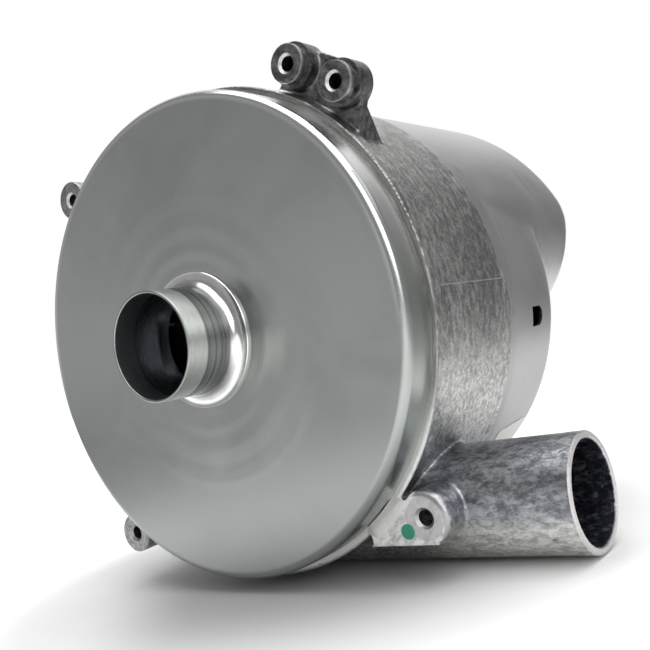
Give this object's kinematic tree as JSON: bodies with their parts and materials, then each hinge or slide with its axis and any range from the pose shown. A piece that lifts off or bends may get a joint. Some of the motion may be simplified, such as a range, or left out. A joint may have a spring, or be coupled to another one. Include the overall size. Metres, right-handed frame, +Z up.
{
  "type": "vacuum motor unit",
  "caption": "Two-stage vacuum blower with a drawn inlet shell, cast housing with a tangential discharge horn and mounting bosses, and a motor under a rear cover.",
  "frame": {"origin": "on the shaft axis, in the plane of the four mounting boss faces", "axes": "+X along the discharge horn, -Y along the shaft out of the inlet, +Z up"},
  "size_m": [0.1703, 0.153, 0.1524],
  "materials": {
    "shell_sheet": "satin drawn sheet",
    "tube_steel": "polished",
    "cast_aluminium": "as cast",
    "cover_sheet": "satin drawn sheet",
    "fan_aluminium": "satin",
    "bearing_steel": "ground",
    "lamination_steel": "stamped",
    "winding_copper": "enamelled wire",
    "seal_rubber": "matte",
    "insulator_plastic": "matte",
    "board_laminate": "solder mask",
    "black_plastic": "matte",
    "capacitor_sleeve": "gloss",
    "magnet_ferrite": "ground",
    "zinc_hardware": "zinc plated",
    "contact_brass": "plated"
  },
  "bodies": {
    "housing": {"inlet_shell": "shell_sheet", "inlet_tube": "tube_steel", "fan_housing": "cast_aluminium", "rear_bracket": "cast_aluminium", "rear_cover": "cover_sheet", "diffuser_front_plate": "fan_aluminium", "diffuser_rear_plate": "fan_aluminium", "return_vanes_ring": "fan_aluminium", "heat_sink": "fan_aluminium", "front_outer_race": "bearing_steel", "rear_outer_race": "bearing_steel", "front_shields": "bearing_steel", "rear_shields": "bearing_steel", "preload_washer": "bearing_steel", "stator_core": "lamination_steel", "stator_coils": "winding_copper", "shell_seal": "seal_rubber", "shaft_seal": "seal_rubber", "front_insulator": "insulator_plastic", "rear_insulator": "insulator_plastic", "lead_header": "insulator_plastic", "controller_board": "board_laminate", "power_transistors": "black_plastic", "capacitors": "capacitor_sleeve", "bracket_screws": "zinc_hardware", "board_standoffs": "zinc_hardware", "board_spacers": "zinc_hardware", "cover_screws": "zinc_hardware", "header_pins": "contact_brass"},
    "rotor": {"shaft": "bearing_steel", "front_inner_race": "bearing_steel", "rear_inner_race": "bearing_steel", "first_fan_backplate": "fan_aluminium", "first_fan_blades": "fan_aluminium", "first_fan_shroud": "fan_aluminium", "second_fan_backplate": "fan_aluminium", "second_fan_blades": "fan_aluminium", "second_fan_shroud": "fan_aluminium", "fan_spacer": "zinc_hardware", "bearing_spacer": "zinc_hardware", "fan_washers": "zinc_hardware", "fan_nut": "zinc_hardware", "rotor_core": "lamination_steel", "rotor_magnets": "magnet_ferrite", "rotor_sleeve": "bearing_steel"},
    "front_cage_set": {"front_balls": "bearing_steel", "front_cage": "insulator_plastic"},
    "rear_cage_set": {"rear_balls": "bearing_steel", "rear_cage": "insulator_plastic"}
  },
  "joints": [
    {"name": "rotor_spin", "type": "hinge", "parent": "housing", "child": "rotor", "pos_m": [0, 0, 0], "axis": [0, 1, 0], "continuous": true},
    {"name": "front_cage_spin", "type": "hinge", "parent": "housing", "child": "front_cage_set", "pos_m": [0, 0.0355, 0], "axis": [0, 1, 0], "continuous": true},
    {"name": "rear_cage_spin", "type": "hinge", "parent": "housing", "child": "rear_cage_set", "pos_m": [0, 0.0755, 0], "axis": [0, 1, 0], "continuous": true}
  ],
  "couplings": [
    {"joint": "front_cage_spin", "follows": "rotor_spin", "ratio": 0.368},
    {"joint": "rear_cage_spin", "follows": "rotor_spin", "ratio": 0.368}
  ]
}
